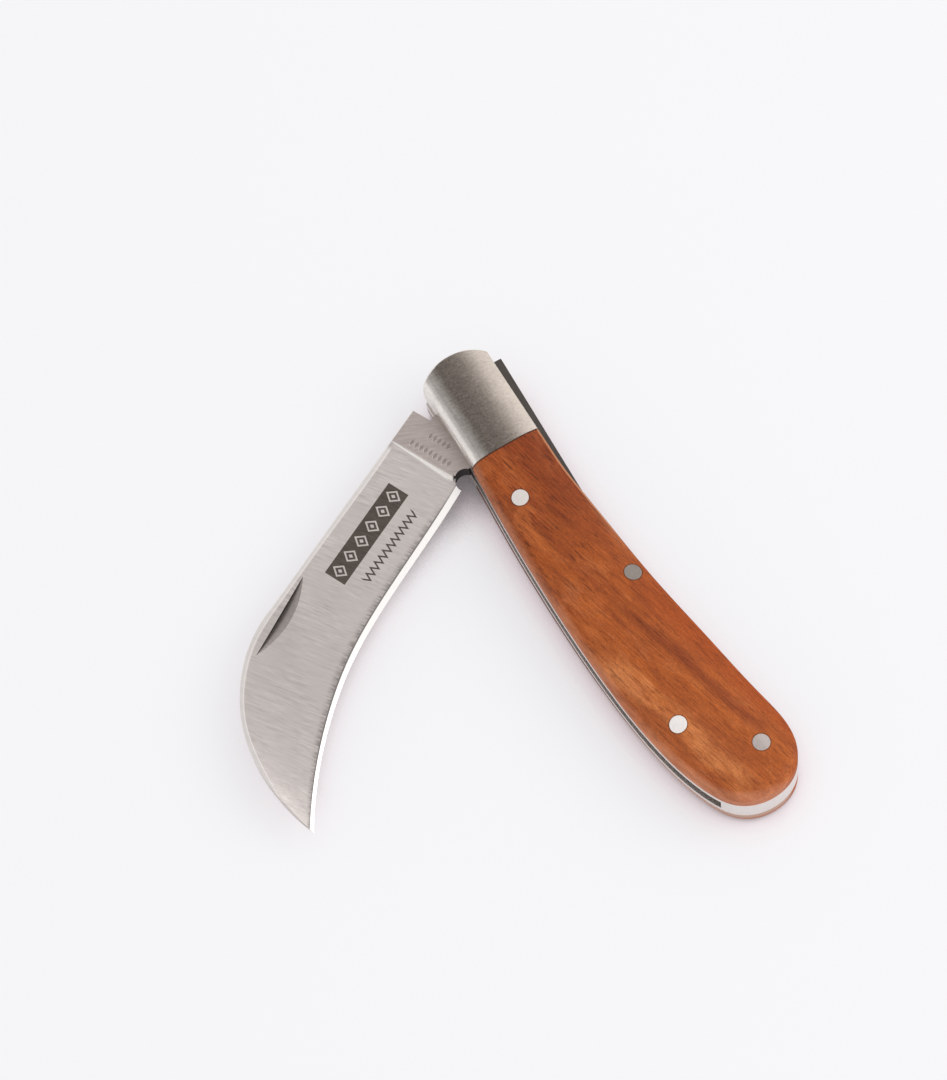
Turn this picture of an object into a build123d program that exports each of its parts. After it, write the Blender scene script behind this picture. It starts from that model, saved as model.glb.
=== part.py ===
"""Folding whittling knife: hawkbill blade, slip-joint spring, steel bolsters and wooden scales.

Millimetres. +X runs from the blade pivot to the butt, +Y to the back of the handle, where the
spring is, and +Z up along the pivot pin. The knife lies on its right side, blade part open.
"""

from build123d import *
from math import cos, radians, sin
import os

os.makedirs("parts", exist_ok=True)

# ---- Thickness of the stack, measured from the middle of the blade slot
HALF_THICKNESS = 6.5
SLOT_HALF = 1.5
LINER = 1.0
FACE_HALF = SLOT_HALF + LINER
SIDE_CLEARANCE = 0.05
MOVING_HALF = SLOT_HALF - SIDE_CLEARANCE
MIDDLE = Plane.XY.offset(HALF_THICKNESS)
SLOT_FACE = MIDDLE.offset(SLOT_HALF)
LINER_FACE = MIDDLE.offset(FACE_HALF)

# ---- Handle outline in plan
BACK_Y = 7.7
BELLY_Y = -5.5
NOSE_X = -8.5
NOSE_CORNER_X = -6.0
NOSE_MID_Y = 1.1
RUN_OUT_X = -14.0
JUNCTION_X = 11.5
JUNCTION_GAP = 0.08
BACK_STRAIGHT_END = (17.0, BACK_Y)
BACK_CURVE = [(30.0, 8.7), (45.0, 10.25), (60.0, 12.6), (73.0, 14.7), (82.0, 15.5), (87.6, 12.7)]
BUTT_END = (89.5, 7.4)
BELLY_CURVE = [(87.5, 1.3), (82.0, -2.2), (72.0, -4.9), (56.0, -6.5), (38.0, -6.75), (20.0, -6.1)]
BELLY_STRAIGHT_END = (9.0, BELLY_Y)
BACK_ALLOWANCES = [1.5, 1.5, 1.5, 1.5, 1.2, 0.8, 0.3]
RIM_ALLOWANCE = 0.05
PAST_BUTT_X = 95.0
PAST_SIDE_Y = 20.0

# ---- Rounding of bolsters and scales
CROWN_FLAT_HALF = 2.0
CROWN_RADIUS = 14.0
CROWN_WIDTH_HALF = 11.5
EDGE_RADIUS = 2.2
BACK_EDGE_RADIUS = 0.6
NOSE_EDGE_RADIUS = 0.3
PLAN_SLACK = 0.5
UPRIGHT = 0.01
STEEP = 0.7
BACK_EDGE_MIN_Y = 6.1
CROWN_LINE = [(RUN_OUT_X, 1.0), (10.0, 1.0), (30.0, 1.1), (50.0, 2.2), (70.0, 4.6), (94.0, 9.2)]

# ---- Pins and rivets
PIN_RADIUS = 1.5
RUNNING_FIT = 0.03
PIVOT_RADIUS = 1.6
PIVOT_BORE_DEPTH = 2.4
FULCRUM = (43.5, 7.7)
ANCHOR = (81.2, 9.9)
FRONT_RIVET = (21.5, -1.7)
REAR_RIVET = (71.1, -0.2)
BOLSTER_RIVET = (5.6, 4.4)
BOLSTER_RIVET_RADIUS = 1.0
BOLSTER_RIVET_DEPTH = 1.8

# ---- Slip joint: seat height, cam crest and the turns between the three stops
SEAT = 4.4
CAM_CLEARANCE = 0.02
CREST_REACH = 5.72
CREST_LAG = 4.2
OPEN_ANGLE = 116.0
CLOSED_ANGLE = 52.0
SPRING_LIFT_ANGLE = 1.95
SEAT_END_X = 0.1
KICK_END_X = 2.4

# ---- Spring, drawn as it lies when seated
SPRING_END_X = -5.35
SPRING_UNDERSIDE = [(11.0, SEAT), (20.0, 4.9), (34.0, 5.0)]
SPRING_BACK_MEETS = (24.0, 8.2)
KNUCKLE_RADIUS = 3.2
KNUCKLE_GAP = 0.06
ROOT_START = (44.5, FULCRUM[1] - KNUCKLE_RADIUS)
ROOT_UNDERSIDE = [(60.0, 6.8), (73.0, 8.0), (79.5, 7.1), (83.2, 4.0), (85.0, 0.0), (85.8, -3.0)]

# ---- Blade, drawn fully open, with its point towards -X
SPINE_Y = 8.1
SHOULDER_X = -5.45
SPINE_STRAIGHT_END = (-49.0, SPINE_Y)
SPINE_CURVE = [(-55.5, 7.8), (-63.0, 5.1), (-69.6, 0.2), (-74.9, -7.3)]
POINT = (-78.7, -20.9)
EDGE_CURVE = [(-70.6, -16.1), (-60.5, -11.9), (-51.0, -9.35), (-37.0, -7.95)]
HEEL_Y = -7.1
NOTCH = (-11.4, -7.0)
NOTCH_RADIUS = 1.9
KICK_X = -9.6
EDGE_HALF = 0.05
BEVEL_HALF = 0.25
BEVEL_END = (-78.5, -19.9)
BEVEL_CURVE = [(-70.9, -15.6), (-60.9, -11.3), (-50.0, -8.25), (-37.0, -6.9)]
BEVEL_HEEL_Y = -5.9
RIDGE_END = (-76.9, -12.6)
RIDGE_CURVE = [(-74.1, -7.3), (-68.9, 0.1), (-62.6, 4.7), (-55.3, 7.2), (-48.0, 7.6), (-34.0, 7.6)]
RIDGE_Y = 7.6
PLUNGE_X = -12.0
PLUNGE_RUN = 0.8
PLUNGE_FOOT_Y = -5.0
NICK_START = (-41.3, 6.9)
NICK_END = (-58.4, 5.4)
NICK_WIDTH = 3.0
NICK_DEPTH = 0.85

# ---- Derived planes and points
blade_turn = radians(OPEN_ANGLE)
BLADE = Plane(
    origin=(0, 0, HALF_THICKNESS),
    x_dir=(cos(blade_turn), sin(blade_turn), 0),
    z_dir=(0, 0, 1),
)
spring_turn = radians(-SPRING_LIFT_ANGLE)
SPRING = Plane(
    origin=(*FULCRUM, HALF_THICKNESS),
    x_dir=(cos(spring_turn), sin(spring_turn), 0),
    z_dir=(0, 0, 1),
)
crown_height = HALF_THICKNESS - SLOT_HALF
crown_reach = CROWN_WIDTH_HALF - CROWN_FLAT_HALF
crown_foot = crown_height - CROWN_RADIUS + (CROWN_RADIUS**2 - crown_reach**2) ** 0.5
CROWN_START = Plane(
    origin=(*CROWN_LINE[0], HALF_THICKNESS + SLOT_HALF),
    x_dir=(0, 1, 0),
    z_dir=(1, 0, 0),
)
tang_seat = SEAT - CAM_CLEARANCE
crest_turn = radians(90.0 - OPEN_ANGLE + CREST_LAG)
cam_crest = (CREST_REACH * cos(crest_turn), CREST_REACH * sin(crest_turn))
kick_turn = radians(90.0 - OPEN_ANGLE - CLOSED_ANGLE)


def kick_point(x):
    """Point at `x` on the flat that the spring rests on when the blade is closed."""
    return (x, (tang_seat - x * cos(kick_turn)) / sin(kick_turn))


# ---- Shared outlines
def long_outline(back_allowances, allowance):
    """Outline of the handle, run out past its nose, moved out by `allowance`, and more at its back."""
    points = [BACK_STRAIGHT_END] + BACK_CURVE
    points = [(x, y + extra) for (x, y), extra in zip(points, back_allowances)]
    points += [(BUTT_END[0] + allowance, BUTT_END[1])]
    points += [(x, y - allowance) for x, y in BELLY_CURVE + [BELLY_STRAIGHT_END]]
    with BuildSketch() as outline:
        with BuildLine():
            back = Line((RUN_OUT_X, points[0][1]), points[0])
            rim = Spline(points, tangents=[(1, 0), (-1, 0.03)])
            belly = Line(rim @ 1, (RUN_OUT_X, points[-1][1]))
            Line(belly @ 1, back @ 0)
        make_face()
    return outline.sketch


long_plan = long_outline([0.0] * len(BACK_ALLOWANCES), 0.0)
wide_plan = long_outline(BACK_ALLOWANCES, RIM_ALLOWANCE)

with BuildSketch() as nose_plan:
    with BuildLine():
        nose = ThreePointArc((NOSE_CORNER_X, BELLY_Y), (NOSE_X, NOSE_MID_Y), (NOSE_CORNER_X, BACK_Y))
        Polyline(
            nose @ 1,
            (NOSE_CORNER_X, PAST_SIDE_Y),
            (PAST_BUTT_X, PAST_SIDE_Y),
            (PAST_BUTT_X, -PAST_SIDE_Y),
            (NOSE_CORNER_X, -PAST_SIDE_Y),
            nose @ 0,
        )
    make_face()

with BuildSketch() as handle_plan:
    add(long_plan)
    add(nose_plan.sketch, mode=Mode.INTERSECT)

# ---- One rounded side of the handle, liner included, before it is divided
with BuildPart() as side_blank:
    with BuildSketch(SLOT_FACE):
        add(wide_plan)
    extrude(amount=crown_height)
    with BuildLine(SLOT_FACE) as crown_line:
        Spline(CROWN_LINE)
    with BuildSketch(CROWN_START):
        with BuildLine():
            top = Line((-CROWN_FLAT_HALF, crown_height), (CROWN_FLAT_HALF, crown_height))
            RadiusArc(top @ 1, (CROWN_WIDTH_HALF, crown_foot), CROWN_RADIUS)
            Polyline(
                (CROWN_WIDTH_HALF, crown_foot),
                (CROWN_WIDTH_HALF, 0),
                (-CROWN_WIDTH_HALF, 0),
                (-CROWN_WIDTH_HALF, crown_foot),
            )
            RadiusArc((-CROWN_WIDTH_HALF, crown_foot), top @ 0, CROWN_RADIUS)
        make_face()
    sweep(path=crown_line, mode=Mode.INTERSECT)
    side_walls = side_blank.faces().filter_by(
        lambda face: abs(face.normal_at().Z) < UPRIGHT and face.center().X > NOSE_X
    )
    rim_edges = side_walls.edges().filter_by(
        lambda edge: edge.center().Z > CROWN_START.origin.Z + PLAN_SLACK
        and abs((edge % 0.5).Z) < PLAN_SLACK
    )
    fillet(rim_edges, radius=EDGE_RADIUS)
    with BuildSketch(SLOT_FACE):
        add(long_plan)
    extrude(amount=crown_height, mode=Mode.INTERSECT)
    back_edges = side_blank.edges().filter_by(
        lambda edge: edge.length > JUNCTION_X
        and edge.center().Y > BACK_EDGE_MIN_Y
        and edge.center().Z > LINER_FACE.origin.Z + PLAN_SLACK
        and edge.center().Z < 2 * HALF_THICKNESS - PLAN_SLACK
    )
    fillet(back_edges, radius=BACK_EDGE_RADIUS)
    with BuildSketch(SLOT_FACE):
        add(nose_plan.sketch)
    extrude(amount=crown_height, mode=Mode.INTERSECT)

with BuildPart() as handle_envelope:
    add(side_blank.part)
    mirror(about=MIDDLE)
    with BuildSketch(MIDDLE):
        add(handle_plan.sketch)
    extrude(amount=SLOT_HALF, both=True)

# ---- Handle, left side (facing up)
with BuildPart() as liner_left:
    with BuildSketch(SLOT_FACE):
        add(handle_plan.sketch)
        with Locations(FULCRUM):
            Circle(PIN_RADIUS + RUNNING_FIT, mode=Mode.SUBTRACT)
        with Locations(ANCHOR, FRONT_RIVET, REAR_RIVET):
            Circle(PIN_RADIUS, mode=Mode.SUBTRACT)
        with Locations(BOLSTER_RIVET):
            Circle(BOLSTER_RIVET_RADIUS, mode=Mode.SUBTRACT)
        Circle(PIVOT_RADIUS + RUNNING_FIT, mode=Mode.SUBTRACT)
    extrude(amount=LINER)

with BuildPart() as bolster_left:
    add(side_blank.part)
    split(bisect_by=LINER_FACE, keep=Keep.TOP)
    split(bisect_by=Plane.YZ.offset(JUNCTION_X), keep=Keep.BOTTOM)
    with BuildSketch(LINER_FACE):
        Circle(PIVOT_RADIUS + RUNNING_FIT)
    extrude(amount=PIVOT_BORE_DEPTH, mode=Mode.SUBTRACT)
    with BuildSketch(LINER_FACE):
        with Locations(BOLSTER_RIVET):
            Circle(BOLSTER_RIVET_RADIUS)
    extrude(amount=BOLSTER_RIVET_DEPTH, mode=Mode.SUBTRACT)
    nose_edges = bolster_left.edges().filter_by(
        lambda edge: edge.center().X < NOSE_CORNER_X / 2
        and edge.center().Z > LINER_FACE.origin.Z + PLAN_SLACK
        and abs((edge % 0.5).Z) < STEEP
    )
    fillet(nose_edges, radius=NOSE_EDGE_RADIUS)

with BuildPart() as scale_left:
    add(side_blank.part)
    split(bisect_by=LINER_FACE, keep=Keep.TOP)
    split(bisect_by=Plane.YZ.offset(JUNCTION_X + JUNCTION_GAP), keep=Keep.TOP)
    with BuildSketch(LINER_FACE):
        with Locations(FULCRUM):
            Circle(PIN_RADIUS + RUNNING_FIT)
        with Locations(ANCHOR, FRONT_RIVET, REAR_RIVET):
            Circle(PIN_RADIUS)
    extrude(amount=HALF_THICKNESS, mode=Mode.SUBTRACT)

with BuildPart() as scale_rivet_front_left:
    add(side_blank.part)
    with BuildSketch(SLOT_FACE):
        with Locations(FRONT_RIVET):
            Circle(PIN_RADIUS)
    extrude(amount=HALF_THICKNESS, mode=Mode.INTERSECT)

with BuildPart() as scale_rivet_rear_left:
    add(side_blank.part)
    with BuildSketch(SLOT_FACE):
        with Locations(REAR_RIVET):
            Circle(PIN_RADIUS)
    extrude(amount=HALF_THICKNESS, mode=Mode.INTERSECT)

with BuildPart() as bolster_rivet_left:
    with BuildSketch(SLOT_FACE):
        with Locations(BOLSTER_RIVET):
            Circle(BOLSTER_RIVET_RADIUS)
    extrude(amount=LINER + BOLSTER_RIVET_DEPTH)

# ---- Handle, right side (the one it lies on)
with BuildPart() as liner_right:
    add(mirror(liner_left.part, about=MIDDLE))

with BuildPart() as bolster_right:
    add(mirror(bolster_left.part, about=MIDDLE))

with BuildPart() as scale_right:
    add(mirror(scale_left.part, about=MIDDLE))

with BuildPart() as scale_rivet_front_right:
    add(mirror(scale_rivet_front_left.part, about=MIDDLE))

with BuildPart() as scale_rivet_rear_right:
    add(mirror(scale_rivet_rear_left.part, about=MIDDLE))

with BuildPart() as bolster_rivet_right:
    add(mirror(bolster_rivet_left.part, about=MIDDLE))

# ---- Through pins
with BuildPart() as pivot_pin:
    with BuildSketch(MIDDLE):
        Circle(PIVOT_RADIUS)
    extrude(amount=FACE_HALF + PIVOT_BORE_DEPTH - SIDE_CLEARANCE, both=True)

with BuildPart() as spring_fulcrum_pin:
    add(handle_envelope.part)
    with BuildSketch(MIDDLE):
        with Locations(FULCRUM):
            Circle(PIN_RADIUS)
    extrude(amount=HALF_THICKNESS, both=True, mode=Mode.INTERSECT)

with BuildPart() as spring_anchor_pin:
    add(handle_envelope.part)
    with BuildSketch(MIDDLE):
        with Locations(ANCHOR):
            Circle(PIN_RADIUS)
    extrude(amount=HALF_THICKNESS, both=True, mode=Mode.INTERSECT)

# ---- Back spring
with BuildPart() as back_spring_root:
    with BuildSketch(MIDDLE):
        with BuildLine():
            under = Spline([ROOT_START] + ROOT_UNDERSIDE)
            Polyline(
                under @ 1,
                (PAST_BUTT_X, ROOT_UNDERSIDE[-1][1]),
                (PAST_BUTT_X, PAST_SIDE_Y),
                (ROOT_START[0], PAST_SIDE_Y),
                under @ 0,
            )
        make_face()
        add(handle_plan.sketch, mode=Mode.INTERSECT)
        with Locations(FULCRUM):
            Circle(KNUCKLE_RADIUS + KNUCKLE_GAP, mode=Mode.SUBTRACT)
        with Locations(ANCHOR):
            Circle(PIN_RADIUS, mode=Mode.SUBTRACT)
    extrude(amount=SLOT_HALF, both=True)

with BuildSketch() as arm_limits:
    add(handle_plan.sketch)
    with BuildLine():
        Polyline(
            (SPRING_END_X, SPINE_Y),
            SPRING_BACK_MEETS,
            (SPRING_BACK_MEETS[0], SEAT),
            (SPRING_END_X, SEAT),
            close=True,
        )
    make_face()

with BuildSketch() as arm_plan:
    with BuildLine():
        arm_under = Polyline(
            (SPRING_END_X, SEAT),
            *SPRING_UNDERSIDE,
            (FULCRUM[0], FULCRUM[1] - KNUCKLE_RADIUS),
        )
        Polyline(
            arm_under @ 1,
            (FULCRUM[0], PAST_SIDE_Y),
            (SPRING_END_X, PAST_SIDE_Y),
            arm_under @ 0,
        )
    make_face()
    with Locations(FULCRUM):
        Circle(KNUCKLE_RADIUS)
    add(arm_limits.sketch, mode=Mode.INTERSECT)
    with Locations(FULCRUM):
        Circle(PIN_RADIUS + RUNNING_FIT, mode=Mode.SUBTRACT)

with BuildPart() as back_spring_arm:
    with BuildSketch(SPRING):
        with Locations((-FULCRUM[0], -FULCRUM[1])):
            add(arm_plan.sketch)
    extrude(amount=MOVING_HALF, both=True)

# ---- Blade
def ground_outline(height, tip, lower_curve, heel_y):
    """Outline of the blade at one height over its middle, from the spine to `lower_curve`."""
    with BuildSketch(BLADE.offset(height)) as outline:
        with BuildLine():
            spine = Line((PLUNGE_X, SPINE_Y), SPINE_STRAIGHT_END)
            Spline([SPINE_STRAIGHT_END] + SPINE_CURVE + [tip])
            lower = Spline([tip] + lower_curve + [(PLUNGE_X, heel_y)])
            Line(lower @ 1, spine @ 0)
        make_face()
    return outline.sketch


with BuildPart() as blade_half:
    add(ground_outline(0, POINT, EDGE_CURVE, HEEL_Y))
    extrude(amount=EDGE_HALF)
    loft(
        [
            ground_outline(EDGE_HALF, POINT, EDGE_CURVE, HEEL_Y),
            ground_outline(BEVEL_HALF, BEVEL_END, BEVEL_CURVE, BEVEL_HEEL_Y),
        ],
        ruled=True,
    )
    loft(
        [
            ground_outline(BEVEL_HALF, BEVEL_END, BEVEL_CURVE, BEVEL_HEEL_Y),
            ground_outline(MOVING_HALF, RIDGE_END, RIDGE_CURVE, RIDGE_Y),
        ],
        ruled=True,
    )
    with BuildSketch(BLADE):
        with BuildLine():
            Polyline(
                (PLUNGE_X, HEEL_Y),
                (PLUNGE_X, SPINE_Y),
                (SHOULDER_X, SPINE_Y),
                (SHOULDER_X, tang_seat),
                (SEAT_END_X, tang_seat),
                cam_crest,
                kick_point(KICK_END_X),
                kick_point(KICK_X),
                close=True,
            )
        make_face()
    extrude(amount=MOVING_HALF)
    plunge_foot = Plane(
        origin=BLADE.from_local_coords((0, PLUNGE_FOOT_Y, 0)),
        x_dir=BLADE.x_dir,
        z_dir=-BLADE.y_dir,
    )
    with BuildSketch(plunge_foot):
        with BuildLine():
            Polyline(
                (PLUNGE_X, MOVING_HALF),
                (PLUNGE_X, BEVEL_HALF),
                (PLUNGE_X - PLUNGE_RUN, BEVEL_HALF),
                close=True,
            )
        make_face()
    extrude(amount=PLUNGE_FOOT_Y - SPINE_Y)

with BuildPart() as blade:
    add(blade_half.part)
    mirror(about=MIDDLE)
    with BuildSketch(BLADE):
        Circle(PIVOT_RADIUS + RUNNING_FIT)
        with Locations(NOTCH):
            Circle(NOTCH_RADIUS)
    extrude(amount=SLOT_HALF, both=True, mode=Mode.SUBTRACT)
    nick_chord = Vector(*NICK_END) - Vector(*NICK_START)
    nick_middle = (Vector(*NICK_END) + Vector(*NICK_START)) / 2
    nick_radius = ((nick_chord.length / 2) ** 2 + NICK_DEPTH**2) / (2 * NICK_DEPTH)
    nick_axis = nick_chord.normalized().rotate(Axis.Z, 90 + OPEN_ANGLE)
    nick_centre = (nick_middle.X, nick_middle.Y, MOVING_HALF - NICK_DEPTH + nick_radius)
    with Locations(Plane(origin=BLADE.from_local_coords(nick_centre), z_dir=nick_axis)):
        Cone(
            nick_radius,
            nick_radius - NICK_DEPTH,
            NICK_WIDTH,
            align=(Align.CENTER, Align.CENTER, Align.MIN),
            mode=Mode.SUBTRACT,
        )

subparts = {
    "liner_left": liner_left,
    "liner_right": liner_right,
    "bolster_left": bolster_left,
    "bolster_right": bolster_right,
    "scale_left": scale_left,
    "scale_right": scale_right,
    "scale_rivet_front_left": scale_rivet_front_left,
    "scale_rivet_front_right": scale_rivet_front_right,
    "scale_rivet_rear_left": scale_rivet_rear_left,
    "scale_rivet_rear_right": scale_rivet_rear_right,
    "bolster_rivet_left": bolster_rivet_left,
    "bolster_rivet_right": bolster_rivet_right,
    "pivot_pin": pivot_pin,
    "spring_fulcrum_pin": spring_fulcrum_pin,
    "spring_anchor_pin": spring_anchor_pin,
    "back_spring_root": back_spring_root,
    "back_spring_arm": back_spring_arm,
    "blade": blade,
}
for label, subpart in subparts.items():
    subpart.part.label = label
    export_step(subpart.part, f"parts/{label}.step")
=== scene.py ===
"""Looks, light and camera for the folding whittling knife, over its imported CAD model."""

from math import cos, radians, sin

import bpy
from mathutils import Matrix, Vector


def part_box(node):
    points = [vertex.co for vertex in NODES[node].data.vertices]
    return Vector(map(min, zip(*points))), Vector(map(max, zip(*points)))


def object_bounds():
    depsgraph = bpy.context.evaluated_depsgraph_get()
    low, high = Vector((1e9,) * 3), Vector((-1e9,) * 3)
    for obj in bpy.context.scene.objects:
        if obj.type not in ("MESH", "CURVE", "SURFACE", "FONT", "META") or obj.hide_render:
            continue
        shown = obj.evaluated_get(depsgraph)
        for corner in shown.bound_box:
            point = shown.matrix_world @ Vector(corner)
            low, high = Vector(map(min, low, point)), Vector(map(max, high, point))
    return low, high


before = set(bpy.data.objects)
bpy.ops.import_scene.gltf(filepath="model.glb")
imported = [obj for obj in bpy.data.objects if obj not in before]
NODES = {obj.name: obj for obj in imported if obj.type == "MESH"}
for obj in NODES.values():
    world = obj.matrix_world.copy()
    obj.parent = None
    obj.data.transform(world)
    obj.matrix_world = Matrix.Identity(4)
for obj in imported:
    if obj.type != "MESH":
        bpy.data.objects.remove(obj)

MM = 0.001
CAD_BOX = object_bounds()
scene = bpy.context.scene

# ---- Measures of the handle, in millimetres in the row frame
MIDDLE_Z = (CAD_BOX[0].z + CAD_BOX[1].z) / 2 / MM
JUNCTION_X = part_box("scale_left")[0].x / MM
FLUSH_PINS = ["spring_fulcrum_pin", "spring_anchor_pin", "scale_rivet_front_left", "scale_rivet_rear_left"]
PIN_RADIUS = (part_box(FLUSH_PINS[0])[1].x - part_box(FLUSH_PINS[0])[0].x) / 2 / MM
PIN_SHADE = 0.3
FAR_NOSE_X = (-2.5, 0.0)
GRAIN_TURN = -14.0
FRONT_X = (18.0, 46.0)
REAR_X = (30.0, 60.0)
GROWTH_SLOPE = 0.262
GROWTH_RISE = -9.6
GROWTH_X = (52.0, 76.0)
RED_BACK_X = (40.0, 56.0)
PALE_X = (58.0, 82.0)
PALE_OFF_GROWTH = (-10.2, -7.8)
FAR_EDGE_Z = (1.2, 3.6)

# ---- Measures of the blade, in millimetres, turned to where it is when fully open, along -X
OPEN_ANGLE = 116.0
BLADE_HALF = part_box("blade")[1].z / MM - MIDDLE_Z
UNGROUND_HALF = BLADE_HALF - 0.02
SPINE_HALF = (BLADE_HALF - 0.03, BLADE_HALF - 0.01)
GROUND_X = -12.2
HEEL_X = -14.0
RIDGE_Y = 7.6
PLUNGE_WIDTH = 0.2
PLUNGE_WIDENING = 0.05
STROKE_TURN = -10.0
TANG_TURN = 52.0
BEVEL_HALF = (0.24, 0.255)
EDGE_LINE_HALF = (0.262, 0.285)
EDGE_SHADE_HALF = (0.25, 0.38)
BAND_X = (-38.9, -19.1)
BAND_Y = (0.0, 4.1)
BAND_COUNT = 6
DIAMOND_OUTLINE = (0.27, 0.36)
DIAMOND_DOT = (0.10, 0.12)
ZIGZAG_X = (-36.4, -21.1)
ZIGZAG_Y = -3.5
ZIGZAG_RISE = 2.6
ZIGZAG_COUNT = 12
ZIGZAG_LINE = (-0.1, 0.5)
BEAD_ROWS = [(-10.6, -3.4, 5.4, 9), (-7.9, -1.5, 3.3, 5)]
NICK_X = (-59.0, -41.0)
NICK_Y = (2.2, 7.5)
NICK_TILT = -0.077
NOTCH = (-11.4, -7.0)
NOTCH_REACH = (2.1, 2.5)


# ---- Camera, at the photograph's viewing angle
AIM = Vector((21.53, -11.68, MIDDLE_Z + 0.15)) * MM
DISTANCE = 625.72 * MM
AZIMUTH = radians(-18.856)
ELEVATION = radians(67.296)
ROLL = radians(-12.393)
LENS = 120
SENSOR_WIDTH = 36


def direction_to(azimuth, elevation):
    """Direction from the object towards an azimuth and elevation in radians."""
    flat = cos(elevation)
    return Vector((flat * cos(azimuth), flat * sin(azimuth), sin(elevation)))


def looking_at_aim(direction, distance):
    """Place of a camera or light that looks back along `direction` at the aim point."""
    turn = direction.to_track_quat("Z", "Y").to_matrix().to_4x4()
    return Matrix.Translation(AIM + direction * distance) @ turn


camera_data = bpy.data.cameras.new("photo_camera")
camera_data.lens = LENS
camera_data.sensor_width = SENSOR_WIDTH
camera_data.clip_start = 10 * MM
camera = bpy.data.objects.new("photo_camera", camera_data)
scene.collection.objects.link(camera)
photo_side = direction_to(AZIMUTH, ELEVATION)
camera.matrix_world = looking_at_aim(photo_side, DISTANCE) @ Matrix.Rotation(ROLL, 4, "Z")
scene.camera = camera
scene.view_settings.view_transform = "Standard"


# ---- Colours of the object
def srgb(red, green, blue):
    """Linear colour from 0-255 display values."""
    def linear(value):
        share = value / 255
        return share / 12.92 if share <= 0.04045 else ((share + 0.055) / 1.055) ** 2.4
    return (linear(red), linear(green), linear(blue), 1)


SATIN_STEEL = srgb(209, 202, 198)
TANG_STEEL = srgb(200, 189, 184)
SPINE_HIGHLIGHT = srgb(254, 249, 247)
EDGE_SHADE = srgb(104, 98, 97)
PLUNGE_HIGHLIGHT = srgb(255, 253, 250)
ETCH_DARK = srgb(97, 89, 83)
STAMP_SHADE = srgb(110, 102, 100)
NICK_WALL_SHADE = srgb(60, 56, 54)
NICK_FLOOR_SHADE = srgb(176, 168, 164)
NOTCH_SHADE = srgb(58, 56, 56)
BEVEL_HONE_AND_HIGHLIGHT = srgb(250, 248, 246)
BOLSTER_DARK = srgb(127, 118, 111)
BOLSTER_BACK_SHEEN = srgb(219, 208, 197)
BOLSTER_BELLY_SHEEN = srgb(229, 224, 219)
BOLSTER_NOSE_SHADE = srgb(120, 106, 96)
LINER_STEEL = srgb(226, 220, 215)
SPRING_STEEL = srgb(96, 91, 87)
SPRING_BUTT = srgb(226, 222, 218)
PIN_STEEL = srgb(140, 131, 125)
PIN_BUTT = srgb(186, 176, 171)
RIVET_FRONT = srgb(214, 208, 204)
RIVET_REAR = srgb(237, 233, 230)
WOOD_BAND_DARK = srgb(128, 56, 22)
WOOD_BAND_LIGHT = srgb(166, 84, 34)
WOOD_REAR = srgb(180, 95, 42)
WOOD_MOTTLE_DARK = srgb(126, 58, 30)
WOOD_MOTTLE_LIGHT = srgb(200, 114, 60)
WOOD_TAN_AND_SHEEN = srgb(196, 120, 78)
WOOD_WARM = srgb(186, 98, 40)
WOOD_FRONT = srgb(112, 46, 22)
WOOD_RED = srgb(158, 70, 20)
WOOD_PALE = srgb(210, 132, 78)
WOOD_GROWTH_LINE = srgb(112, 44, 22)
WOOD_PORE = srgb(72, 30, 16)
WOOD_RIM_SHEEN = srgb(222, 158, 126)
WOOD_BACK_HIGHLIGHT = srgb(222, 166, 124)
WOOD_FAR_FRONT_SHADE = srgb(80, 64, 57)
WOOD_FAR_BUTT = srgb(186, 160, 147)
JOINT_SHADE = srgb(52, 26, 18)
PIN_RING = srgb(58, 26, 16)
FLOOR_WHITE = (srgb(240, 239, 241), srgb(242, 241, 243))
FLOOR_SHADE_TINT = srgb(244, 228, 234)
FLOOR_CLEAR_TINT = srgb(247, 247, 249)


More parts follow.
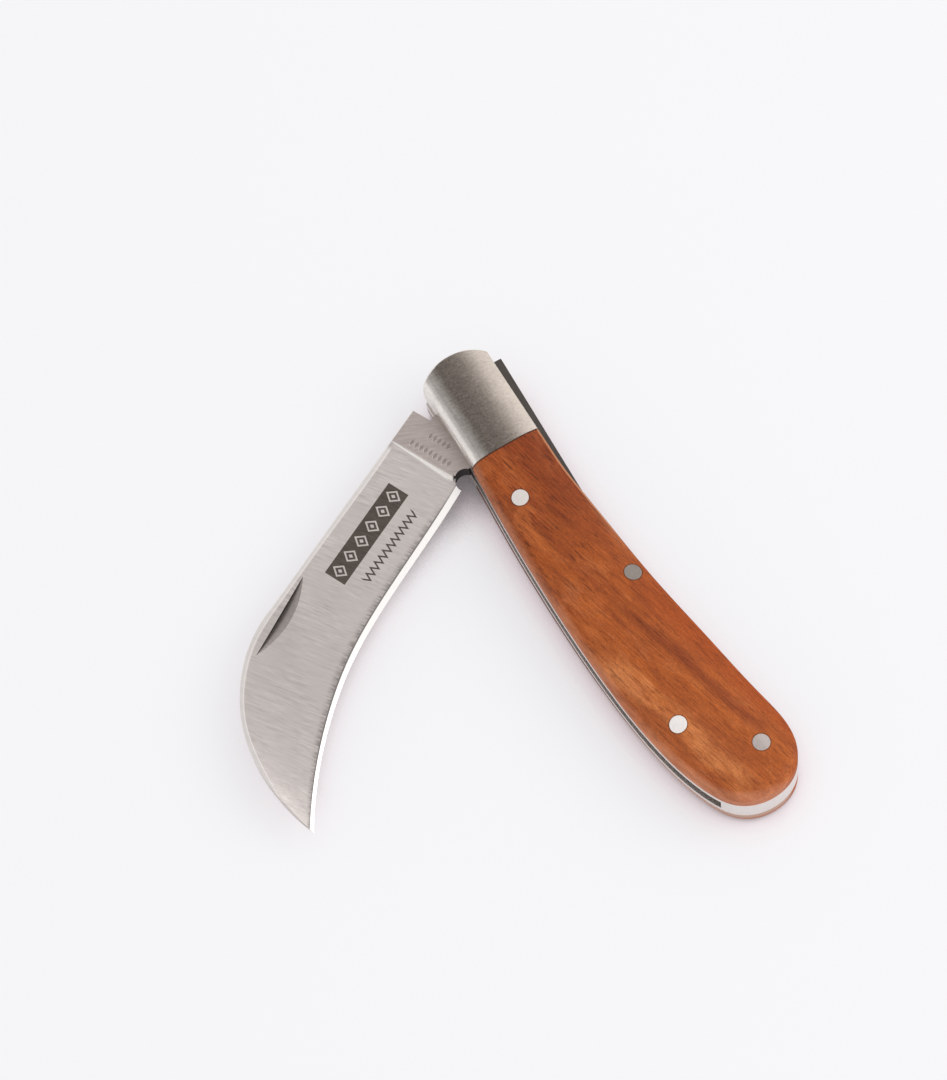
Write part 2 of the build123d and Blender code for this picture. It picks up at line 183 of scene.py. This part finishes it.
# ---- Short calls for building node trees
class Nodes:
    """A node tree, with one short call for each kind of node used here."""

    def __init__(self, tree):
        self.tree = tree

    def plug(self, socket, value):
        """Links a socket to a node's output, or sets it to a plain value."""
        if isinstance(value, bpy.types.NodeSocket):
            self.tree.links.new(value, socket)
        else:
            socket.default_value = value

    def add(self, kind, sockets, output=0, **settings):
        made = self.tree.nodes.new(kind)
        for key, value in settings.items():
            setattr(made, key, value)
        for key, value in sockets.items():
            self.plug(made.inputs[key], value)
        return made.outputs[output]

    def math(self, operation, a, b=0.0):
        return self.add("ShaderNodeMath", {0: a, 1: b}, operation=operation)

    def plus(self, a, b):
        return self.math("ADD", a, b)

    def minus(self, a, b):
        return self.math("SUBTRACT", a, b)

    def times(self, a, b):
        return self.math("MULTIPLY", a, b)

    def larger(self, a, b):
        return self.math("MAXIMUM", a, b)

    def size(self, a):
        """The value without its sign."""
        return self.math("ABSOLUTE", a)

    def reach(self, x, y, centre_x, centre_y):
        """Distance in plan from a point."""
        from_x = self.minus(x, centre_x)
        from_y = self.minus(y, centre_y)
        return self.math("SQRT", self.plus(self.times(from_x, from_x), self.times(from_y, from_y)))

    def repeat(self, value, start, pitch):
        """0 at the middle of each repeat, 0.5 at its ends."""
        run = self.math("FRACT", self.math("DIVIDE", self.minus(value, start), pitch))
        return self.size(self.minus(run, 0.5))

    def fade(self, value, start, end, low=0.0, high=1.0):
        """`low` up to `start`, `high` from `end` on, smooth between."""
        return self.add(
            "ShaderNodeMapRange",
            {"Value": value, 1: start, 2: end, 3: low, 4: high},
            interpolation_type="SMOOTHSTEP",
        )

    def spread(self, value, low, high):
        """Maps 0..1 to low..high."""
        return self.add("ShaderNodeMapRange", {"Value": value, 3: low, 4: high})

    def inside(self, value, limits, soft):
        """1 between two limits, fading over `soft` outside them."""
        low, high = limits
        return self.times(self.fade(value, low - soft, low), self.fade(value, high, high + soft, 1, 0))

    def mix(self, share, a, b):
        return self.add("ShaderNodeMix", {0: share, 6: a, 7: b}, 2, data_type="RGBA")

    def scale_colour(self, colour, factor):
        """Multiplies a colour by a number from another node."""
        if isinstance(colour, tuple):
            colour = colour[:3]
        return self.add("ShaderNodeVectorMath", {0: colour, 3: factor}, operation="SCALE")

    def place(self, vector, turn=0.0, scale=(1, 1, 1)):
        """Turned about Z by `turn` degrees, then stretched by `scale`."""
        turned = self.add("ShaderNodeMapping", {"Vector": vector, "Rotation": (0, 0, radians(turn))})
        return self.add("ShaderNodeMapping", {"Vector": turned, "Scale": scale})

    def noise(self, vector, scale=1.0, detail=3.0, roughness=0.5, distortion=0.0):
        sockets = {"Vector": vector, "Scale": scale, "Detail": detail}
        sockets.update({"Roughness": roughness, "Distortion": distortion})
        return self.add("ShaderNodeTexNoise", sockets)

    def parts(self, vector):
        split = self.tree.nodes.new("ShaderNodeSeparateXYZ")
        self.plug(split.inputs[0], vector)
        return split.outputs[0], split.outputs[1], split.outputs[2]

    def facing(self, turn=0.0):
        """Parts of the surface normal, turned about Z by `turn` degrees."""
        normal = self.add("ShaderNodeTexCoord", {}, 1)
        return self.parts(self.add("ShaderNodeMapping", {"Vector": normal, "Rotation": (0, 0, radians(turn))}))

    def bump(self, height, strength, distance):
        """A normal from a height of 0..1 standing for `distance` millimetres."""
        return self.add("ShaderNodeBump", {"Height": height, "Strength": strength, "Distance": distance * MM})


def material(name, **fixed):
    """A new Principled material, its nodes, and its coordinates in millimetres in the row frame."""
    made = bpy.data.materials.new(name)
    made.use_nodes = True
    nodes = Nodes(made.node_tree)
    surface = made.node_tree.nodes["Principled BSDF"]
    for key, value in fixed.items():
        surface.inputs[key.replace("_", " ")].default_value = value
    source = nodes.add("ShaderNodeTexCoord", {}, 3)
    place = nodes.add("ShaderNodeVectorMath", {0: source, 3: 1 / MM}, operation="SCALE")
    return made, nodes, surface, place


def finish_surface(nodes, surface, colour, roughness, normal=None):
    """Joins a material's colour, roughness and relief to its surface."""
    nodes.plug(surface.inputs["Base Color"], colour)
    nodes.plug(surface.inputs["Roughness"], roughness)
    if normal is not None:
        nodes.plug(surface.inputs["Normal"], normal)


# ---- Blade steel: cross-ground satin, etched band, stamped marks, honed bevel, with painted highlights and shade
def blade_steel():
    made, n, surface, place = material("blade_steel", Metallic=1.0)
    local = n.place(place, turn=-OPEN_ANGLE)
    x, y, z = n.parts(local)
    tilt_x, tilt_y, tilt_z = n.facing(-OPEN_ANGLE)
    height = n.size(n.minus(z, MIDDLE_Z))
    left_face = n.math("GREATER_THAN", z, MIDDLE_Z)
    on_side = n.fade(n.size(tilt_z), 0.3, 0.6)

    strokes_at = n.place(local, turn=STROKE_TURN, scale=(1.0, 0.009, 1.0))
    coarse = n.noise(strokes_at, 2.2, 1, 0.6)
    fine = n.noise(strokes_at, 4.8, 2, 0.7)
    cloud = n.noise(place, 0.09, 2)
    patches = n.fade(n.noise(place, 0.16, 2), 0.35, 0.65, 0.35, 1.0)
    strokes = n.plus(n.times(coarse, 0.4), n.times(fine, 0.6))
    tone = n.plus(1.0, n.times(n.times(n.minus(strokes, 0.5), patches), 0.95))
    tone = n.times(tone, n.spread(cloud, 0.93, 1.07))
    body = n.scale_colour(SATIN_STEEL, tone)

    # Tang and ricasso, left unground, with grain in another direction
    unground = n.math("GREATER_THAN", height, UNGROUND_HALF)
    tang = n.times(n.fade(x, GROUND_X - 0.2, GROUND_X + 0.2), unground)
    tang_grain = n.noise(n.place(local, turn=TANG_TURN, scale=(0.12, 1.6, 1.0)), 3.2, 4, 0.7)
    body = n.mix(tang, body, n.scale_colour(TANG_STEEL, n.spread(tang_grain, 0.6, 1.4)))

    # Strip along the spine left by the grinding, painted bright as a highlight
    spine = n.times(n.fade(x, HEEL_X, HEEL_X + 1.0, 1, 0), n.fade(height, *SPINE_HALF))
    body = n.mix(n.times(spine, 0.85), body, SPINE_HIGHLIGHT)

    # Painted shade over the bevel, broken up along the grinding strokes, and a darker painted line at the
    # bevel's edge
    over_bevel = n.times(n.fade(height, *EDGE_SHADE_HALF, 1.0, 0.0), n.fade(x, HEEL_X, HEEL_X - 10.0))
    ragged = n.noise(n.place(local, turn=STROKE_TURN, scale=(1.0, 0.1, 1.0)), 3.2, 2, 0.6)
    shade = n.times(over_bevel, n.fade(ragged, 0.35, 0.65, 0.1, 0.75))
    edge_line = n.fade(height, *EDGE_LINE_HALF, 1.0, 0.0)
    edge_line = n.times(edge_line, n.fade(x, HEEL_X, HEEL_X - 6.0, 0.3, 0.75))
    body = n.mix(n.times(n.larger(shade, edge_line), on_side), body, EDGE_SHADE)

    # Plunge line, where the ground face ends at the tang, painted bright as a highlight, wider towards the
    # edge
    plunge_width = n.plus(PLUNGE_WIDTH, n.times(n.minus(RIDGE_Y, y), PLUNGE_WIDENING))
    from_tang = n.math("DIVIDE", n.minus(GROUND_X, x), plunge_width)
    plunge = n.times(n.fade(from_tang, -0.1, 0.1), n.fade(from_tang, 0.6, 1.3, 1, 0))
    plunge = n.times(plunge, n.fade(height, 0.3, 0.5))
    body = n.mix(n.times(plunge, 0.85), body, PLUNGE_HIGHLIGHT)

    # Etched band of plain hollow diamonds, with a zigzag line under it
    band_height = BAND_Y[1] - BAND_Y[0]
    in_band = n.times(n.inside(x, BAND_X, 0.05), n.inside(y, BAND_Y, 0.05))
    across = n.repeat(x, BAND_X[0], (BAND_X[1] - BAND_X[0]) / BAND_COUNT)
    up = n.math("DIVIDE", n.size(n.minus(y, BAND_Y[0] + band_height / 2)), band_height)
    diamond = n.plus(across, up)
    bare = n.larger(n.inside(diamond, DIAMOND_OUTLINE, 0.02), n.fade(diamond, *DIAMOND_DOT, 1, 0))
    wave = n.times(n.repeat(x, ZIGZAG_X[0], (ZIGZAG_X[1] - ZIGZAG_X[0]) / ZIGZAG_COUNT), ZIGZAG_RISE)
    rise = n.minus(n.minus(y, ZIGZAG_Y), wave)
    zigzag = n.times(n.inside(x, ZIGZAG_X, 0.03), n.inside(rise, ZIGZAG_LINE, 0.08))
    etched = n.times(n.larger(n.times(in_band, n.minus(1.0, bare)), zigzag), left_face)
    body = n.mix(etched, body, n.scale_colour(ETCH_DARK, n.spread(fine, 0.4, 1.6)))

    # Two short stamped rows of plain beads on the tang
    stamp = 0.0
    for row_x, low, high, count in BEAD_ROWS:
        along_row = n.repeat(y, low, (high - low) / count)
        bead = n.plus(along_row, n.times(n.size(n.minus(x, row_x)), 0.45))
        mark = n.times(n.fade(bead, 0.30, 0.40, 1, 0), n.inside(y, (low, high), 0.02))
        stamp = n.larger(stamp, mark)
    stamp = n.times(stamp, n.times(left_face, tang))
    body = n.mix(n.times(stamp, 0.45), body, STAMP_SHADE)

    # Nail nick: painted shade, dark on the wall under the spine and grey on the floor, told apart by how they
    # face
    in_nick = n.times(n.times(n.inside(x, NICK_X, 0.2), n.inside(y, NICK_Y, 0.1)), left_face)
    off_ground = n.fade(n.size(n.minus(tilt_y, NICK_TILT)), 0.02, 0.04)
    faces_down = n.times(n.fade(tilt_y, 0.02, -0.12), off_ground)
    faces_up = n.times(n.fade(tilt_y, 0.02, 0.06), n.fade(tilt_z, 0.1, 0.3))
    nick = n.times(in_nick, n.larger(faces_down, faces_up))
    nick_shade = n.mix(n.fade(tilt_z, 0.3, 0.7), NICK_WALL_SHADE, NICK_FLOOR_SHADE)
    body = n.mix(nick, body, n.scale_colour(nick_shade, n.spread(fine, 0.7, 1.3)))

    # Wall of the round notch, painted dark as shade
    wall = n.fade(n.reach(x, y, *NOTCH), *NOTCH_REACH, 1, 0)
    wall = n.times(wall, n.fade(n.size(tilt_z), 0.5, 0.7, 1, 0))
    body = n.mix(wall, body, n.scale_colour(NOTCH_SHADE, n.spread(fine, 0.6, 1.4)))

    # Bevel, honed, and painted bright as a highlight
    bevel = n.times(n.fade(height, *BEVEL_HALF, 1.0, 0.0), on_side)
    body = n.mix(bevel, body, BEVEL_HONE_AND_HIGHLIGHT)
    rough = n.plus(n.spread(strokes, 0.34, 0.5), n.times(etched, 0.25))
    relief = n.minus(n.times(strokes, 0.25), stamp)
    finish_surface(n, surface, body, rough, n.bump(relief, 0.5, 0.05))
    return made


# ---- Bolster steel: blasted and lightly cross-brushed, with painted reflections, pale on the belly rim and towards the back
def bolster_steel():
    made, n, surface, place = material("bolster_steel", Metallic=1.0)
    x, y, z = n.parts(place)
    speckle = n.noise(place, 2.4, 3, 0.65)
    strokes = n.noise(n.place(place, turn=8.0, scale=(1.0, 0.22, 1.0)), 3.2, 3, 0.6)
    cloud = n.noise(place, 0.3, 2)
    grain = n.plus(n.times(speckle, 0.6), n.times(strokes, 0.4))
    tilt_x, tilt_y, tilt_z = n.facing()
    # Painted reflections: pale on the belly rim and towards the back, darker in the middle
    belly_sheen_rim = n.fade(tilt_y, -0.03, -0.25)
    back_sheen = n.fade(y, -0.2, 8.2)
    body = n.mix(back_sheen, BOLSTER_DARK, BOLSTER_BACK_SHEEN)
    body = n.mix(belly_sheen_rim, body, BOLSTER_BELLY_SHEEN)

    # Painted shade on the belly side of the far bolster's nose
    far_nose_shade = n.times(n.fade(z, MIDDLE_Z - 1.0, MIDDLE_Z, 1, 0), n.fade(x, *FAR_NOSE_X, 1, 0))
    body = n.mix(n.times(n.times(far_nose_shade, belly_sheen_rim), 0.75), body, BOLSTER_NOSE_SHADE)

    contrast = n.spread(n.larger(belly_sheen_rim, back_sheen), 1.9, 0.7)
    tone = n.plus(1.0, n.times(n.minus(grain, 0.5), contrast))
    tone = n.times(tone, n.spread(cloud, 0.88, 1.12))
    rough = n.spread(grain, 0.24, 0.42)
    finish_surface(n, surface, n.scale_colour(body, tone), rough, n.bump(grain, 0.35, 0.04))
    return made


# ---- Plain sheet, spring, pin and rivet metals
def plain_metal(name, colour, rough, turn, stretch, tones=(0.7, 1.3), metallic=1.0, far_end=None):
    """One stretched grain. `far_end` is (start, end, colour), for a colour that changes along X."""
    made, n, surface, place = material(name, Metallic=metallic)
    if far_end is not None:
        start, end, other = far_end
        colour = n.mix(n.fade(n.parts(place)[0], start, end), colour, other)
    grain = n.noise(n.place(place, turn=turn, scale=stretch), 3.0, 4, 0.65)
    body = n.scale_colour(colour, n.spread(grain, *tones))
    finish_surface(n, surface, body, n.spread(grain, *rough), n.bump(grain, 0.3, 0.02))
    return made


# ---- Scale wood: red-brown, oiled, with short dark pores along the grain
def scale_wood():
    made, n, surface, place = material("scale_wood")
    surface.inputs["Specular IOR Level"].default_value = 0.2
    x, y, z = n.parts(place)
    tilt_x, tilt_y, tilt_z = n.facing()
    near_half = n.fade(z, MIDDLE_Z, MIDDLE_Z + 2.0)
    along = n.place(place, turn=GRAIN_TURN)
    warp = n.noise(n.place(along, scale=(0.05, 0.16, 0.16)), 1.0, 2)
    bands = n.noise(n.place(along, scale=(0.05, 0.5, 0.5)), 1.0, 4, 0.6, 0.5)
    mottle = n.noise(n.place(along, scale=(0.11, 0.28, 0.28)), 1.0, 5, 0.68, 0.5)
    clouds = n.noise(n.place(along, scale=(0.1, 0.26, 0.26)), 1.0, 5, 0.7, 0.8)
    pores = n.noise(n.place(along, scale=(0.3, 4.4, 4.4)), 1.0, 2, 0.6)
    fibre = n.noise(n.place(along, scale=(0.22, 3.4, 3.4)), 1.0, 3, 0.75)
    speck = n.noise(place, 3.5, 3, 0.7)

    # Bands and mottling, tan patches with a painted sheen towards the belly, darker towards the bolster
    body = n.mix(n.fade(bands, 0.3, 0.7), WOOD_BAND_DARK, WOOD_BAND_LIGHT)
    body = n.mix(n.fade(x, 12.0, 70.0, 0.0, 0.55), body, WOOD_REAR)
    body = n.mix(n.fade(mottle, 0.48, 0.72, 0.0, 0.6), body, WOOD_MOTTLE_DARK)
    body = n.mix(n.fade(mottle, 0.5, 0.34, 0.0, 0.45), body, WOOD_MOTTLE_LIGHT)
    tan = n.times(n.fade(clouds, 0.48, 0.66), n.fade(x, *REAR_X, 0.3, 1.0))
    body = n.mix(n.times(tan, n.fade(y, 4.0, -3.0, 0.05, 0.6)), body, WOOD_TAN_AND_SHEEN)
    body = n.mix(n.fade(warp, 0.5, 0.72, 0.0, 0.3), body, WOOD_WARM)
    front = n.times(n.fade(x, *FRONT_X, 1, 0), n.fade(y, -2.0, 8.0, 0.25, 0.9))
    body = n.mix(n.times(front, 0.6), body, WOOD_FRONT)

    # One darker growth line towards the butt, redder wood behind it and a pale streak before it
    line_y = n.plus(n.times(x, GROWTH_SLOPE), GROWTH_RISE)
    off_line = n.plus(n.minus(y, line_y), n.times(n.minus(bands, 0.5), 3.0))
    red_back = n.times(n.fade(off_line, 0.5, 5.0), n.fade(x, *RED_BACK_X, 0.1, 0.75))
    body = n.mix(red_back, body, WOOD_RED)
    pale = n.times(n.inside(off_line, PALE_OFF_GROWTH, 1.8), n.inside(x, PALE_X, 9.0))
    body = n.mix(n.times(pale, n.fade(mottle, 0.62, 0.38, 0.2, 0.75)), body, WOOD_PALE)
    growth = n.times(n.fade(n.size(off_line), 0.2, 1.5, 1, 0), n.inside(x, GROWTH_X, 6.0))
    body = n.mix(n.times(growth, 0.55), body, WOOD_GROWTH_LINE)

    # Pores and fibres
    dark = n.times(n.fade(pores, 0.52, 0.72), n.fade(x, 18.0, 60.0, 0.85, 0.5))
    body = n.mix(dark, body, WOOD_PORE)
    body = n.scale_colour(body, n.times(n.spread(fibre, 0.44, 1.42), n.spread(speck, 0.55, 1.47)))

    # Rims: painted sheen on the belly and butt rims of the near scale
    belly_and_butt = n.minus(tilt_x, tilt_y)
    rim_sheen = n.times(n.fade(belly_and_butt, 0.35, 1.0), near_half)
    rim_sheen = n.times(rim_sheen, n.fade(mottle, 0.65, 0.35, 0.2, 0.42))
    body = n.mix(rim_sheen, body, WOOD_RIM_SHEEN)
    # Painted highlight along the front of the near scale's back rim
    back_highlight = n.times(n.inside(tilt_y, (0.45, 0.85), 0.15), near_half)
    body = n.mix(n.times(back_highlight, n.fade(x, 30.0, 44.0, 0.4, 0.0)), body, WOOD_BACK_HIGHLIGHT)
    # Far scale's belly and butt rim: painted shade, dark towards the front, greyish pale towards the butt
    far_edge = n.times(n.fade(z, *FAR_EDGE_Z), n.fade(z, MIDDLE_Z - 0.5, MIDDLE_Z, 1, 0))
    far_edge = n.times(n.times(far_edge, n.fade(belly_and_butt, 0.3, 0.7)), 0.85)
    body = n.mix(far_edge, body, n.mix(n.fade(x, 50.0, 78.0), WOOD_FAR_FRONT_SHADE, WOOD_FAR_BUTT))

    # Shade in the joint against the bolster and round each pin
    body = n.mix(n.fade(x, JUNCTION_X + 0.05, JUNCTION_X + 0.3, 0.7, 0.0), body, JOINT_SHADE)
    for node in FLUSH_PINS:
        low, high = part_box(node)
        middle = (low + high) / 2 / MM
        ring = n.fade(n.reach(x, y, middle.x, middle.y), PIN_RADIUS + 0.05, PIN_RADIUS + PIN_SHADE, 0.6, 0.0)
        body = n.mix(ring, body, PIN_RING)
    relief = n.minus(n.times(fibre, 0.4), n.times(dark, 0.6))
    finish_surface(n, surface, body, n.spread(mottle, 0.5, 0.66), n.bump(relief, 0.35, 0.05))
    return made


blade_look = blade_steel()
bolster_look = bolster_steel()
liner_look = plain_metal("liner_steel", LINER_STEEL, (0.25, 0.4), 0, (0.2, 1, 3))
spring_look = plain_metal(
    "spring_steel", SPRING_STEEL, (0.3, 0.5), 0, (0.15, 1, 3), far_end=(82.0, 84.5, SPRING_BUTT),
)
pin_look = plain_metal(
    "pin_steel", PIN_STEEL, (0.3, 0.45), 20, (0.3, 2, 1),
    metallic=0.7, far_end=(50.0, 75.0, PIN_BUTT),
)
rivet_look = plain_metal(
    "rivet_aluminium", RIVET_FRONT, (0.4, 0.55), 35, (0.3, 2, 1),
    tones=(0.8, 1.2), metallic=0.2, far_end=(40.0, 55.0, RIVET_REAR),
)
wood_look = scale_wood()

LOOKS = {
    "blade": blade_look,
    "bolster_left": bolster_look,
    "bolster_right": bolster_look,
    "bolster_rivet_left": bolster_look,
    "bolster_rivet_right": bolster_look,
    "liner_left": liner_look,
    "liner_right": liner_look,
    "back_spring_root": spring_look,
    "back_spring_arm": spring_look,
    "pivot_pin": pin_look,
    "spring_fulcrum_pin": pin_look,
    "spring_anchor_pin": pin_look,
    "scale_rivet_front_left": rivet_look,
    "scale_rivet_front_right": rivet_look,
    "scale_rivet_rear_left": rivet_look,
    "scale_rivet_rear_right": rivet_look,
    "scale_left": wood_look,
    "scale_right": wood_look,
}
for node, look in LOOKS.items():
    for slot in NODES[node].material_slots:
        slot.material = look


# ---- Floor: glows a little, as an overexposed white sheet does, with a painted shadow near the object, tinted pink
FLOOR_REACH = 3000 * MM
FLOOR_GAP = 0.02 * MM
NEAR_SKY = 9 * MM
WIDE_SKY = 24 * MM
FLOOR_BASE_SHARE = 0.27
FLOOR_GLOW = (0.05, 0.715)

corners = [(-FLOOR_REACH, -FLOOR_REACH, 0), (FLOOR_REACH, -FLOOR_REACH, 0)]
corners += [(FLOOR_REACH, FLOOR_REACH, 0), (-FLOOR_REACH, FLOOR_REACH, 0)]
floor_mesh = bpy.data.meshes.new("floor")
floor_mesh.from_pydata(corners, [], [(0, 1, 2, 3)])
floor = bpy.data.objects.new("floor", floor_mesh)
floor.location.z = CAD_BOX[0].z - FLOOR_GAP
scene.collection.objects.link(floor)
floor_look, n, surface, place = material("floor_white")
surface.inputs["Specular IOR Level"].default_value = 0.1
tint = n.mix(n.noise(place, 0.02, 2), *FLOOR_WHITE)
finish_surface(n, surface, n.scale_colour(tint, FLOOR_BASE_SHARE), 0.7)
near_sky = n.add("ShaderNodeAmbientOcclusion", {"Distance": NEAR_SKY}, 1, samples=8)
wide_sky = n.add("ShaderNodeAmbientOcclusion", {"Distance": WIDE_SKY}, 1, samples=8)
glow = n.times(n.fade(near_sky, 0.1, 0.7), n.fade(wide_sky, 0.13, 0.47))
clear = n.times(glow, n.fade(near_sky, 0.35, 0.97))
n.plug(surface.inputs["Emission Color"], n.mix(clear, FLOOR_SHADE_TINT, FLOOR_CLEAR_TINT))
n.plug(surface.inputs["Emission Strength"], n.spread(glow, *FLOOR_GLOW))
floor_mesh.materials.append(floor_look)


# ---- Light: a white tent, dimmer overhead round the lens opening, and one soft box
OVERHEAD = (-0.365, -0.26, 0.893)
TENT_WHITE = (1.0, 0.985, 0.99, 1)
TENT_DIM = (0.45, 0.44, 0.43, 1)
BOX_DIRECTION = direction_to(radians(62), radians(42))
BOX_DISTANCE = 900 * MM
BOX_SIZE = 600 * MM
BOX_POWER = 3.2
BOX_COLOUR = (1.0, 0.985, 0.965)

world = bpy.data.worlds.new("tent")
scene.world = world
world.use_nodes = True
n = Nodes(world.node_tree)
background = world.node_tree.nodes["Background"]
background.inputs["Strength"].default_value = 1.0
direction = n.add("ShaderNodeTexCoord", {}, 0)
toward = n.add("ShaderNodeVectorMath", {0: direction, 1: OVERHEAD}, "Value", operation="DOT_PRODUCT")
n.plug(background.inputs["Color"], n.mix(n.fade(toward, 0.72, 0.975), TENT_WHITE, TENT_DIM))

box_light = bpy.data.lights.new("key_box", "AREA")
box_light.size = BOX_SIZE
box_light.energy = BOX_POWER
box_light.color = BOX_COLOUR
soft_box = bpy.data.objects.new("key_box", box_light)
scene.collection.objects.link(soft_box)
soft_box.matrix_world = looking_at_aim(BOX_DIRECTION, BOX_DISTANCE)
